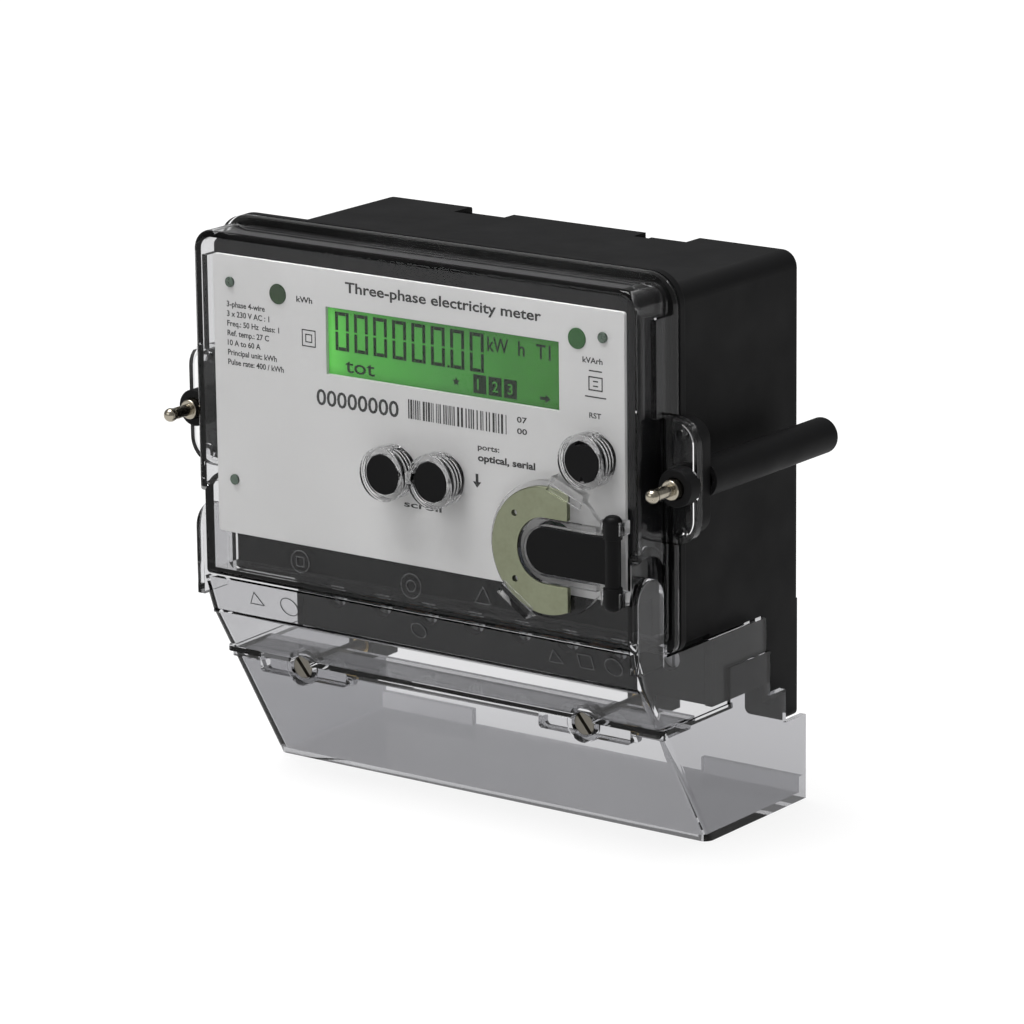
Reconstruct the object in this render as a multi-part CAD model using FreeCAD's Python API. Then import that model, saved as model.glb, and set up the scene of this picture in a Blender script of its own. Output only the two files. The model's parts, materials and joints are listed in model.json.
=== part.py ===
import FreeCAD, Part
import os

# Wall-hung three-phase electric meter, in millimetres.
# +X is to the reader's right, +Y points into the wall, +Z is up.
# The origin is on the rear mounting face, so every part lies at y <= 0.

V = FreeCAD.Vector

# ---- case -------------------------------------------------------------
CASE_HALF = 77.0            # half width of the black case
CASE_TOP = 64.5
CASE_FLOOR = -41.5          # underside of the electronics compartment
CASE_BOTTOM = -64.0         # underside of the terminal compartment
CASE_WALL = 2.5
CASE_BACK = 2.8             # thickness of the rear wall
RIM_HALF = 83.0
RIM_TOP = 70.8
RIM_BOTTOM = -41.5
RIM_CORNER = 10.0
RIM_BACK = -67.4            # rear face of the case rim
RIM_FRONT = -69.8           # front face of the case rim
EAR_HALF = 93.3
EAR_LOW = -7.0
EAR_HIGH = 30.8
EAR_CORNER = 8.0
EAR_PAD_IN = 83.3           # the case's ears stand forward outside this half width
EAR_PAD_FRONT = -73.6
EAR_PAD_INSET = 1.7         # the clear ears overhang the black ones by this much
PILLAR_XS = (-56.0, 56.0)   # pillars that carry the power board
PILLAR_ZS = (6.0, 52.0)
PILLAR_R = 3.5
NOTCH_IN = 24.5             # notches in the rear top edge
NOTCH_OUT = 42.5
NOTCH_DEEP = 9.5

# ---- clear main cover --------------------------------------------------
COVER_HALF = 81.0
COVER_TOP = 68.5
COVER_BOTTOM = -37.8
COVER_FRONT = -88.5
COVER_WALL = 2.2
COVER_CORNER = 6.0
GASKET_THICK = 1.0
FLANGE_BACK = RIM_FRONT - GASKET_THICK
FLANGE_FRONT = FLANGE_BACK - 2.4
CLEAR_EAR_BACK = EAR_PAD_FRONT - 0.3
CLEAR_EAR_FRONT = CLEAR_EAR_BACK - 1.9
POCKET_HALF = 78.3          # half width left beside the terminal cover's lugs
POCKET_TOP = -9.6
POCKET_BACK = -74.8

# ---- terminal cover and cable hood --------------------------------------
HOOD_HALF = 80.6
HOOD_WALL = 2.0
HOOD_BOTTOM = -103.5
HOOD_BACK = -0.5
LUG_OUT = 81.6              # outer face of the terminal cover's lugs
LUG_TOP = -16.4
LUG_BACK = -76.2
CROWN = V(0, -89.5, -38.1)  # upper front edge of the terminal cover
CREASE = V(0, -84.9, -49.9)  # where its front starts to slope back
TOE = V(0, -53.0, HOOD_BOTTOM)  # lower front edge of the hood
SEAM = -65.0                # level where cover and hood meet
SEAM_STEP_Y = -41.0         # behind this the seam steps up
SEAM_HIGH = -52.5

# ---- faceplate and display ----------------------------------------------
PLATE_HALF = 75.0
PLATE_TOP = 61.5
PLATE_BOTTOM = -24.0
PLATE_FRONT = -85.5
PLATE_THICK = 1.2
FRAME_STEP_Y = -76.5        # front of the carrier's set-back lower panel
FRAME_BOTTOM = -35.3
WINDOW_LEFT = -32.5
WINDOW_RIGHT = 52.1
WINDOW_LOW = 29.8
WINDOW_HIGH = 50.2
GLASS_MARGIN = 2.4
GLASS_THICK = 2.2

# ---- boards --------------------------------------------------------------
BOARD_THICK = 1.6
MAIN_BOARD_FRONT = -77.0
POWER_BOARD_FRONT = -52.0
BOARD_SCREW_R = 1.25

# ---- push buttons ---------------------------------------------------------
BUTTON_R = 6.1
BUTTON_FRONT = -93.9
BUTTON_BACK = -83.2
COLLAR_OUT_R = 8.2
COLLAR_IN_R = 6.45
COLLAR_FRONT = -94.5
SCROLL_LEFT = (-6.4, 4.5)
SCROLL_RIGHT = (11.2, 4.7)
RESET = (65.3, 18.2)
BUTTONS = (SCROLL_LEFT, SCROLL_RIGHT, RESET)

# ---- optical port ----------------------------------------------------------
PORT_X = 50.7
PORT_Z = -10.5
RING_R = 19.0
RING_SLOT = 9.9             # half height of the ring's slot
RING_END_X = 58.6
RING_BACK = -90.25
RING_FRONT = -91.9
SEAT_R = 20.4
SEAT_FRONT = -90.2
TONGUE_HALF = 6.9
TONGUE_BACK = -89.9
TONGUE_FRONT = -91.6
BARREL_X = 74.8
BARREL_Y = -92.1
BARREL_R = 2.8
BARREL_WAIST_R = 2.35
BARREL_HALF = 14.1
CLAW_R = 3.7                # outer radius of the snap claws round the barrel
RING_CLIP_ANGLES = (68, 236)  # degrees round the ring

# ---- pulse windows and plate screws ----------------------------------------
PULSE_ACTIVE = (-50.4, 51.8)
PULSE_REACTIVE = (58.5, 52.0)
PULSE_R = 3.1
PLATE_SCREWS = ((-68.5, 53.4), (67.6, 53.4), (-68.4, -7.3), (70.0, -19.5))

# ---- fasteners ---------------------------------------------------------------
SEAL_X = 88.4
SEAL_Z = 11.0
SEAL_SHANK_R = 2.2
SEAL_STEM_R = 3.0
SEAL_STEM_FRONT = -83.5
SEAL_ROD_R = 1.8
SEAL_TIP_R = 2.1
SEAL_TIP_Y = -91.7           # centre of the ball at the tip
SEAL_COLLAR_R = 5.65
SEAL_COLLAR_FRONT = -80.9
SEAL_TUBE_R = 5.45
SEAL_TUBE_END = -3.2
WIRE_HOLE_X = 87.2
WIRE_HOLE_Z = (26.2, -3.0)
WIRE_HOLE_R = 1.1
COVER_SCREW_X = 52.4
COVER_SCREW_Z = -66.0
COVER_SCREW_SHANK_R = 2.0
COVER_SCREW_FRONT = -75.6
COVER_SCREW_HEAD_R = 3.7
COVER_SCREW_SEAT = 3.4      # depth of the head's recess
COVER_SCREW_BOSS_R = 5.8
COVER_SCREW_SLOT_TURN = -40  # degrees

# ---- terminals ----------------------------------------------------------------
TERMINAL_COUNT = 8
TERMINAL_PITCH = 17.6
TERMINAL_Y = -21.5          # axis of the conductor holes
TERMINAL_BORE_R = 4.25
TERMINAL_SCREW_Z = -51.5
BLOCK_HALF = 74.3
BLOCK_FRONT = -46.5
BLOCK_TOP = -41.8
BLOCK_BOTTOM = -63.7
CLAMP_BOTTOM = -62.2        # floor of the clamp pockets
BAR_WIDTH = 8.0
BAR_THICK = 3.0

# ---- wall fixing ---------------------------------------------------------------
FOOT_IN = 62.0
FOOT_OUT = 77.0
FOOT_BOTTOM = -78.2
FOOT_THICK = 7.0
FOOT_HOLE_X = 70.3
FOOT_HOLE_Z = -71.5
FOOT_HOLE_R = 2.75
HANGER_HALF = 23.75
HANGER_HOLE_Z = 53.0
HANGER_HOLE_R = 3.0
HANGER_TOP = 63.8
HANGER_POCKET_HALF = 24.5


def box(x0, x1, y0, y1, z0, z1):
    """Box between two corners."""
    return Part.makeBox(x1 - x0, y1 - y0, z1 - z0, V(x0, y0, z0))


def rod_y(x, z, y0, y1, r):
    """Cylinder along Y."""
    return Part.makeCylinder(r, y1 - y0, V(x, y0, z), V(0, 1, 0))


def rod_x(y, z, x0, x1, r):
    """Cylinder along X."""
    return Part.makeCylinder(r, x1 - x0, V(x0, y, z), V(1, 0, 0))


def rod_z(x, y, z0, z1, r):
    """Cylinder along Z."""
    return Part.makeCylinder(r, z1 - z0, V(x, y, z0), V(0, 0, 1))


def ring_y(x, z, y0, y1, r_out, r_in):
    """Tube along Y."""
    return rod_y(x, z, y0, y1, r_out).cut(rod_y(x, z, y0 - 1, y1 + 1, r_in))


def slab(x0, x1, z0, z1, y0, y1, r_low, r_high):
    """Rounded rectangle in XZ, extruded along Y. Low and high corners have their own radii."""
    corners = ((x0, z0, 1, 1, r_low), (x1, z0, -1, 1, r_low), (x1, z1, -1, -1, r_high), (x0, z1, 1, -1, r_high))
    body = box(x0, x1, y0, y1, z0, z1)
    for x, z, sx, sz, r in corners:
        if r > 0:
            square = box(min(x, x + sx * r), max(x, x + sx * r), y0, y1, min(z, z + sz * r), max(z, z + sz * r))
            body = body.cut(square.cut(rod_y(x + sx * r, z + sz * r, y0, y1, r)))
    return body


def prism_x(points, x0, x1):
    """Polygon in YZ, extruded along X."""
    loop = [V(x0, y, z) for y, z in points]
    face = Part.Face(Part.makePolygon(loop + [loop[0]]))
    return face.extrude(V(x1 - x0, 0, 0))


def prism_y(points, y0, y1):
    """Polygon in XZ, extruded along Y."""
    loop = [V(x, y0, z) for x, z in points]
    face = Part.Face(Part.makePolygon(loop + [loop[0]]))
    return face.extrude(V(0, y1 - y0, 0))


def soften(shape, r, wanted):
    """Fillet the edges that a test picks."""
    edges = [e for e in shape.Edges if wanted(e)]
    return shape.makeFillet(r, edges)


def on_plane_y(edge, y):
    """Whether an edge lies in the plane at this y."""
    bb = edge.BoundBox
    return abs(bb.YMin - y) < 1e-4 and abs(bb.YMax - y) < 1e-4


def fuse(shapes):
    """One solid from touching or overlapping shapes."""
    body = shapes[0]
    if len(shapes) > 1:
        body = body.multiFuse(shapes[1:])
    return body.removeSplitter()


def both_sides(shape):
    """The shape and its mirror image across X = 0."""
    return [shape, shape.mirror(V(0, 0, 0), V(1, 0, 0))]


def group(shapes):
    """Separate solids that share one node."""
    return Part.makeCompound(shapes)


def terminal_xs():
    """X of each main terminal."""
    first = -TERMINAL_PITCH * (TERMINAL_COUNT - 1) / 2
    return [first + i * TERMINAL_PITCH for i in range(TERMINAL_COUNT)]


def pillar_places():
    """X and Z of each power board pillar."""
    return [(x, z) for x in PILLAR_XS for z in PILLAR_ZS]


def slope_y(z):
    """Y of the sloping front of the terminal cover and hood at this height."""
    return CREASE.y + (TOE.y - CREASE.y) * (CREASE.z - z) / (CREASE.z - TOE.z)


# ---- case ------------------------------------------------------------------

def ear_plate(y0, y1, inset=0.0):
    """Flat bar through both ears, with its outer corners rounded."""
    half = EAR_HALF - inset
    r = EAR_CORNER - inset
    return slab(-half, half, EAR_LOW + inset, EAR_HIGH - inset, y0, y1, r, r)


def ear_holes():
    """Clearance for the sealing screws and the sealing wires, through both ears."""
    tools = []
    for side in (-1, 1):
        tools.append(rod_y(side * SEAL_X, SEAL_Z, CLEAR_EAR_FRONT - 3, RIM_BACK + 1, SEAL_SHANK_R + 0.05))
        for z in WIRE_HOLE_Z:
            tools.append(rod_y(side * WIRE_HOLE_X, z, CLEAR_EAR_FRONT - 3, RIM_BACK + 1, WIRE_HOLE_R))
    return tools


def base_case():
    """Black rear case: tub, rim with ears, terminal bay, feet and hanger pocket."""
    tub = slab(-CASE_HALF, CASE_HALF, CASE_FLOOR, CASE_TOP, RIM_BACK, 0, 0, 5.0)
    tub = soften(tub, 0.8, lambda e: on_plane_y(e, 0) and e.BoundBox.ZMax > CASE_TOP - 6)
    bay = box(-CASE_HALF, CASE_HALF, BLOCK_FRONT, 0, CASE_BOTTOM, CASE_FLOOR)
    rim = slab(-RIM_HALF, RIM_HALF, RIM_BOTTOM, RIM_TOP, RIM_FRONT, RIM_BACK, 4.0, RIM_CORNER)
    foot = slab(FOOT_IN, FOOT_OUT, FOOT_BOTTOM, CASE_BOTTOM + 1, -FOOT_THICK, 0, 2.0, 0)
    foot = foot.cut(rod_y(FOOT_HOLE_X, FOOT_HOLE_Z, -FOOT_THICK - 1, 1, FOOT_HOLE_R))
    ear_pads = ear_plate(EAR_PAD_FRONT, RIM_BACK, EAR_PAD_INSET).cut(box(-EAR_PAD_IN, EAR_PAD_IN, -90, 0, -50, 50))
    gusset = box(CASE_HALF - CASE_WALL, CASE_HALF, -20.0, 0, CASE_BOTTOM - 5.0, CASE_BOTTOM + 1)
    body = fuse([tub, bay, rim, ear_plate(RIM_FRONT, RIM_BACK, EAR_PAD_INSET)] + ear_pads.Solids + both_sides(gusset))

    inner = CASE_HALF - CASE_WALL
    hollow = slab(-inner, inner, CASE_FLOOR + CASE_WALL, CASE_TOP - CASE_WALL, RIM_FRONT - 1, -CASE_BACK, 1.0, 3.0)
    bay_hollow = box(-inner, inner, BLOCK_FRONT - 1, -CASE_BACK, CASE_BOTTOM - 1, CASE_FLOOR)
    body = body.cut(hollow).cut(bay_hollow)
    body = body.fuse(both_sides(foot.cut(box(0, inner, -FOOT_THICK, -CASE_BACK, BLOCK_BOTTOM - 0.3, CASE_FLOOR))))

    pocket_wall = box(-28, 28, -6.0, -CASE_BACK, 23.0, CASE_TOP - 1.0)
    head_room = rod_y(0, HANGER_HOLE_Z, -13.0, -CASE_BACK, 8.4)
    notch_backing = box(NOTCH_IN - 1.5, NOTCH_OUT + 1.5, -NOTCH_DEEP - 2.0, -CASE_BACK, 60.0, CASE_TOP - 1.0)
    pillars = [rod_y(x, z, POWER_BOARD_FRONT + BOARD_THICK, -CASE_BACK, PILLAR_R) for x, z in pillar_places()]
    body = fuse([body, pocket_wall, head_room] + both_sides(notch_backing) + pillars)

    tools = ear_holes()
    tools.append(box(-HANGER_POCKET_HALF, HANGER_POCKET_HALF, -3.0, 1, 26.0, CASE_TOP + 1))
    tools.append(rod_y(0, HANGER_HOLE_Z, -11.0, -2.0, 6.5))
    tools += both_sides(box(NOTCH_IN, NOTCH_OUT, -NOTCH_DEEP, 1, CASE_TOP - 2.0, CASE_TOP + 1))
    for x in terminal_xs():
        half = BAR_WIDTH / 2 + 0.6
        tools.append(box(x - half, x + half, TERMINAL_Y - 2.4, TERMINAL_Y + 2.4, CASE_FLOOR - 1, CASE_FLOOR + 4))
    tools += [rod_y(x, z, POWER_BOARD_FRONT, -40.0, BOARD_SCREW_R) for x, z in pillar_places()]
    return body.cut(Part.makeCompound(tools)).removeSplitter()


def seal_tubes():
    """Long blind tubes behind the ears that take the sealing screws."""
    tube = rod_y(SEAL_X, SEAL_Z, RIM_BACK, SEAL_TUBE_END, SEAL_TUBE_R)
    tube = soften(tube, 1.2, lambda e: on_plane_y(e, SEAL_TUBE_END))
    tube = tube.cut(rod_y(SEAL_X, SEAL_Z, RIM_BACK - 1, -24.0, 3.8))
    return group(both_sides(tube))


def seal_inserts():
    """Brass threads pressed into the sealing screw tubes."""
    insert = ring_y(SEAL_X, SEAL_Z, -40.0, -26.0, 3.8, SEAL_SHANK_R + 0.05)
    return group(both_sides(insert))


def wall_hanger():
    """Sliding steel plate with the upper fixing hole."""
    plate = slab(-HANGER_HALF, HANGER_HALF, 27.0, HANGER_TOP, -2.5, -0.5, 2.0, 4.0)
    plate = plate.cut(rod_y(0, HANGER_HOLE_Z, -4, 1, HANGER_HOLE_R))
    grip = slab(-11.0, 11.0, HANGER_TOP - 2.4, HANGER_TOP - 1.0, -3.5, 0.5, 0.5, 0.5)
    return plate.cut(grip)


def cover_gasket():
    """Rubber seal between the case rim and the clear cover's flange."""
    outer = slab(-82.2, 82.2, RIM_BOTTOM + 0.8, RIM_TOP - 0.8, FLANGE_BACK, RIM_FRONT, 3.5, 9.2)
    inner = slab(-75.8, 75.8, CASE_FLOOR + 1.6, 66.2, FLANGE_BACK - 1, RIM_FRONT + 1, 1.0, 2.0)
    return outer.cut(inner)


# ---- clear main cover ----------------------------------------------------------

def lug_outline(top, back, front, x0, x1):
    """Upright tongue in the YZ plane with a half-round top."""
    r = (back - front) / 2
    mid = (back + front) / 2
    return box(x0, x1, front, back, COVER_BOTTOM - 6, top - r).fuse(rod_x(mid, top - r, x0, x1, r))


def cover_shell():
    """Five-sided clear tray with rounded front edges and side pockets for the lugs."""
    outer = slab(-COVER_HALF, COVER_HALF, COVER_BOTTOM, COVER_TOP, COVER_FRONT, FLANGE_BACK, 1.5, COVER_CORNER)
    outer = soften(outer, 2.0, lambda e: on_plane_y(e, COVER_FRONT) and e.BoundBox.ZMax > COVER_BOTTOM + 3)
    w = COVER_WALL
    inner = slab(w - COVER_HALF, COVER_HALF - w, COVER_BOTTOM + w, COVER_TOP - w,
                 COVER_FRONT + w, FLANGE_BACK + 1, 1.0, COVER_CORNER - w)
    room = POCKET_HALF - 2.0
    for side in (-1, 1):
        xs = sorted((side * room, side * COVER_HALF))
        wall = lug_outline(POCKET_TOP + 2.0, POCKET_BACK + 2.0, COVER_FRONT, xs[0], xs[1])
        inner = inner.cut(wall)
        xs = sorted((side * POCKET_HALF, side * (COVER_HALF + 1)))
        outer = outer.cut(lug_outline(POCKET_TOP, POCKET_BACK, COVER_FRONT - 3, xs[0], xs[1]))
    return outer.cut(inner)


def cover_flange():
    """Clear rim with ears, raised ear beads and wire-hole bosses."""
    flange = slab(-RIM_HALF, RIM_HALF, RIM_BOTTOM, RIM_TOP, FLANGE_FRONT, FLANGE_BACK, 4.0, RIM_CORNER)
    front = CLEAR_EAR_FRONT
    inside = box(1 - COVER_HALF, COVER_HALF - 1, -90, -60, -20, 40)
    ears = ear_plate(front, CLEAR_EAR_BACK).cut(inside)
    bead = ear_plate(front - 0.8, front)
    bead = bead.cut(ear_plate(front - 2, front + 1, 1.5)).cut(inside)
    for seat in both_sides(rod_y(SEAL_X, SEAL_Z, front - 2, front, SEAL_COLLAR_R + 0.1)):
        bead = bead.cut(seat)
    bosses = []
    for z in WIRE_HOLE_Z:
        bosses += both_sides(rod_y(WIRE_HOLE_X, z, front - 0.8, front, 2.4))
    w = COVER_WALL
    opening = slab(w - COVER_HALF, COVER_HALF - w, COVER_BOTTOM + w, COVER_TOP - w,
                   FLANGE_FRONT - 1, FLANGE_BACK + 1, 1.0, COVER_CORNER - w)
    return [flange.cut(opening)] + ears.Solids + bead.Solids + bosses


def button_collar(x, z):
    """Clear tube around a button, with three shallow grooves outside."""
    collar = rod_y(x, z, COLLAR_FRONT, COVER_FRONT + 0.5, COLLAR_OUT_R)
    collar = soften(collar, 0.5, lambda e: on_plane_y(e, COLLAR_FRONT))
    for y in (-93.0, -91.6, -90.2):
        collar = collar.cut(ring_y(x, z, y, y + 0.6, COLLAR_OUT_R + 1, COLLAR_OUT_R - 0.45))
    return collar


def slot_shape(x_end, half, y0, y1):
    """Horizontal slot: a half-round left end centred on the port, and straight edges to x_end."""
    bar = box(PORT_X, x_end, y0, y1, PORT_Z - half, PORT_Z + half)
    return bar.fuse(rod_y(PORT_X, PORT_Z, y0, y1, half))


def port_features():
    """Round seat, raised slot wall, hinge claws and ring clips on the cover's front."""
    seat = rod_y(PORT_X, PORT_Z, SEAT_FRONT, COVER_FRONT + 0.5, SEAT_R)
    neck = [V(PORT_X + 9, 0, PORT_Z + 18.2), V(69.0, 0, PORT_Z + 10.6), V(69.0, 0, PORT_Z - 10.6),
            V(PORT_X + 9, 0, PORT_Z - 18.2)]
    neck = [V(p.x, SEAT_FRONT, p.z) for p in neck]
    seat = seat.fuse(Part.Face(Part.makePolygon(neck + [neck[0]])).extrude(V(0, COVER_FRONT + 0.5 - SEAT_FRONT, 0)))
    wall = slot_shape(69.0, 9.4, RING_FRONT - 0.3, COVER_FRONT + 0.5)
    claws = []
    for dz in (-12.5, 8.5):
        claw = rod_z(BARREL_X, BARREL_Y, PORT_Z + dz, PORT_Z + dz + 4.0, CLAW_R)
        foot = box(BARREL_X - CLAW_R, POCKET_HALF, BARREL_Y + 1.5, COVER_FRONT + 0.5, PORT_Z + dz, PORT_Z + dz + 4.0)
        mouth = box(60, 81, -100, BARREL_Y - 1.2, PORT_Z + dz - 1, PORT_Z + dz + 5)
        lug_room = box(POCKET_HALF, COVER_HALF, -100, -80, PORT_Z - 20, PORT_Z + 20)
        claws.append(claw.fuse(foot).cut(mouth).cut(lug_room))
    clips = [ring_clip(angle) for angle in RING_CLIP_ANGLES]
    return [seat, wall] + claws + clips


def ring_clip(angle):
    """Snap hook that stands outside the ring and reaches over its stepped edge."""
    post = box(RING_R + 0.2, RING_R + 3.0, RING_FRONT + 0.05, COVER_FRONT + 0.5, -6.0, 6.0)
    hook = box(RING_R - 1.6, RING_R + 0.2, RING_FRONT + 0.05, RING_FRONT + 0.75, -6.0, 6.0)
    clip = post.fuse(hook)
    clip.rotate(V(0, 0, 0), V(0, -1, 0), angle)
    clip.translate(V(PORT_X, 0, PORT_Z))
    return clip


def main_cover():
    """Clear front cover with collars, optical port seat, side pads and ears."""
    pad = box(COVER_HALF - 1, RIM_HALF, -81.8, FLANGE_FRONT, 30.5, 59.5)
    adds = cover_flange() + both_sides(pad)
    adds += [button_collar(x, z) for x, z in BUTTONS]
    adds.append(box(-1.0, 5.8, -93.6, COVER_FRONT + 0.5, 3.0, 6.2))
    adds += port_features()
    body = fuse([cover_shell()] + adds)
    tools = ear_holes()
    tools += [rod_y(x, z, COLLAR_FRONT - 1, COVER_FRONT + 4, COLLAR_IN_R) for x, z in BUTTONS]
    tools.append(slot_shape(BARREL_X + 4, 7.5, RING_FRONT - 1, SEAT_FRONT + 0.9))
    tools.append(rod_y(PORT_X, PORT_Z, COVER_FRONT - 3, COVER_FRONT + 4, 6.0))
    tools.append(rod_z(BARREL_X, BARREL_Y, PORT_Z - 15, PORT_Z + 15, BARREL_R + 0.25))
    return body.cut(Part.makeCompound(tools)).removeSplitter()


# ---- terminal cover and cable hood -------------------------------------------------

def hood_blank(inset):
    """Full side profile of terminal cover plus hood, with rounded front corners, inset all round."""
    side = HOOD_HALF - inset
    crown_z = CROWN.z + 1
    points = [(CROWN.y + inset, crown_z), (CREASE.y + inset, CREASE.z), (TOE.y + inset, TOE.z + inset),
              (0, TOE.z + inset), (0, crown_z)]
    blank = prism_x(points, -side, side)
    r = 2.6 - inset if inset < 2.6 else 0

    def front_corner(edge):
        bb = edge.BoundBox
        flat = bb.XMax - bb.XMin < 1e-4
        return flat and bb.YMax < TOE.y + inset + 0.5 and bb.ZMax - bb.ZMin > 1

    return soften(blank, r, front_corner) if r > 0 else blank


def hood_shell():
    """Hollow blank of even wall thickness, open at the top and at the wall side."""
    return hood_blank(0).cut(hood_blank(HOOD_WALL))


def cover_screw_axis(y0, y1, r):
    """Tool along both terminal cover screws."""
    return both_sides(rod_y(COVER_SCREW_X, COVER_SCREW_Z, y0, y1, r))


def cover_screw_bosses():
    """Round bosses about both terminal cover screw heads."""
    back = COVER_SCREW_FRONT + COVER_SCREW_SEAT + 1.2
    return cover_screw_axis(COVER_SCREW_FRONT - 0.6, back, COVER_SCREW_BOSS_R)


def terminal_cover():
    """Clear upper part: front, side walls, corner lugs, lower flange and shelf."""
    keep_low = box(-90, 90, -95, SEAM_STEP_Y, SEAM, CROWN.z)
    keep_high = box(-90, 90, SEAM_STEP_Y, -22.0, SEAM_HIGH, CROWN.z)
    body = hood_shell().common(keep_low.fuse(keep_high))
    body = body.cut(box(-90, 90, FLANGE_FRONT - 0.4, 0, RIM_BOTTOM - 0.4, 0))
    lug = lug_outline(LUG_TOP, LUG_BACK, CROWN.y, POCKET_HALF + 0.3, LUG_OUT)
    lug = soften(lug, 0.6, lambda e: e.BoundBox.XMin > LUG_OUT - 1e-3 and e.BoundBox.ZMax > COVER_BOTTOM)
    crease_bead = rod_x(CREASE.y, CREASE.z, 2.0 - HOOD_HALF, HOOD_HALF - 2.0, 0.7)
    bosses = [boss.common(box(-90, 90, -90, 0, SEAM, 0)) for boss in cover_screw_bosses()]
    half = HOOD_HALF - 0.5
    lip_front = slope_y(SEAM) - 1.0
    lip = box(-HOOD_HALF - 0.8, HOOD_HALF + 0.8, lip_front, SEAM_STEP_Y, SEAM, SEAM + 1.6)
    lip = soften(lip, 2.4, lambda e: e.BoundBox.ZMax - e.BoundBox.ZMin > 1 and e.BoundBox.YMax < lip_front + 1)
    lip = lip.cut(box(-half + 1.5, half - 1.5, -58.0, 0, SEAM - 1, SEAM + 3))
    body = fuse([body, lip, crease_bead] + both_sides(lug) + bosses)
    tools = cover_screw_axis(-90, COVER_SCREW_FRONT + COVER_SCREW_SEAT, COVER_SCREW_HEAD_R + 0.4)
    tools += cover_screw_axis(-90, -50, COVER_SCREW_SHANK_R + 0.3)
    return body.cut(Part.makeCompound(tools)).removeSplitter()


def cable_hood():
    """Clear lower part that hides the cables: sloping front, sides stepped round the feet, floor."""
    steps = [(-95, SEAM_STEP_Y, SEAM - 0.2), (SEAM_STEP_Y, -20.0, SEAM_HIGH - 0.2), (-20.0, -11.5, -66.5),
             (-11.5, HOOD_BACK, -77.1)]
    keep = fuse([box(-90, 90, y0, y1, HOOD_BOTTOM - 1, top) for y0, y1, top in steps])
    body = hood_shell().common(keep)
    inner = HOOD_HALF - 0.5
    lips = both_sides(box(43.0, inner, HOOD_BACK - 2.0, HOOD_BACK, HOOD_BOTTOM + 1, HOOD_BOTTOM + 7.0))
    ledge = box(-inner, inner, slope_y(SEAM) + 1.0, -60.0, SEAM - 2.0, SEAM - 0.2)
    pads = []
    for side in (-1, 1):
        x = side * COVER_SCREW_X
        pad = slab(x - 16.5, x + 16.5, -70.0, SEAM - 0.2, COVER_SCREW_FRONT, -69.0, 1.2, 0.4)
        pads.append(pad)
    bosses = [boss.common(box(-90, 90, -90, 0, HOOD_BOTTOM, SEAM - 0.2)) for boss in cover_screw_bosses()]
    body = fuse([body, ledge] + lips + pads + bosses)
    tools = cover_screw_axis(-90, COVER_SCREW_FRONT + COVER_SCREW_SEAT, COVER_SCREW_HEAD_R + 0.4)
    tools += cover_screw_axis(-90, -50, COVER_SCREW_SHANK_R + 0.1)
    return body.cut(Part.makeCompound(tools)).removeSplitter()


# ---- sealing screws -----------------------------------------------------------------

def cover_screw(side):
    """Slotted cheese-head screw that holds the terminal cover."""
    x = side * COVER_SCREW_X
    y = COVER_SCREW_FRONT
    head = rod_y(x, COVER_SCREW_Z, y, y + 3.0, COVER_SCREW_HEAD_R)
    head = soften(head, 0.5, lambda e: on_plane_y(e, y))
    slot = box(x - 0.6, x + 0.6, y - 1, y + 1.4, COVER_SCREW_Z - 6, COVER_SCREW_Z + 6)
    slot.rotate(V(x, 0, COVER_SCREW_Z), V(0, 1, 0), COVER_SCREW_SLOT_TURN)
    shank = rod_y(x, COVER_SCREW_Z, y + 2.5, -38.5, COVER_SCREW_SHANK_R)
    return head.fuse(shank).cut(slot).removeSplitter()


def sealing_screw(side):
    """Screw with a thin ball-tipped stem: the sealing wire passes through the stem's cross hole."""
    x = side * SEAL_X
    back = CLEAR_EAR_FRONT - 0.1
    stem = rod_y(x, SEAL_Z, SEAL_STEM_FRONT, back, SEAL_STEM_R)
    stem = soften(stem, 0.4, lambda e: on_plane_y(e, SEAL_STEM_FRONT))
    rod = rod_y(x, SEAL_Z, SEAL_TIP_Y, SEAL_STEM_FRONT + 1, SEAL_ROD_R)
    tip = Part.makeSphere(SEAL_TIP_R, V(x, SEAL_TIP_Y, SEAL_Z))
    shank = rod_y(x, SEAL_Z, back - 1, -28.0, SEAL_SHANK_R)
    wire_hole = rod_z(x, SEAL_TIP_Y + 3.4, SEAL_Z - 6, SEAL_Z + 6, 0.7)
    return fuse([stem, rod, tip, shank]).cut(wire_hole)


def seal_collars():
    """Loose collars round the sealing screw stems."""
    collar = ring_y(SEAL_X, SEAL_Z, SEAL_COLLAR_FRONT, CLEAR_EAR_FRONT, SEAL_COLLAR_R, SEAL_STEM_R + 0.3)
    collar = soften(collar, 0.4, lambda e: on_plane_y(e, SEAL_COLLAR_FRONT) and e.BoundBox.ZMax > SEAL_Z + 4)
    return group(both_sides(collar))


def cover_inserts():
    """Brass threads for the terminal cover screws."""
    insert = ring_y(COVER_SCREW_X, COVER_SCREW_Z, BLOCK_FRONT, -36.5, 3.0, COVER_SCREW_SHANK_R + 0.05)
    return group(both_sides(insert))


# ---- faceplate and what sits in it ------------------------------------------------------

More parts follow.
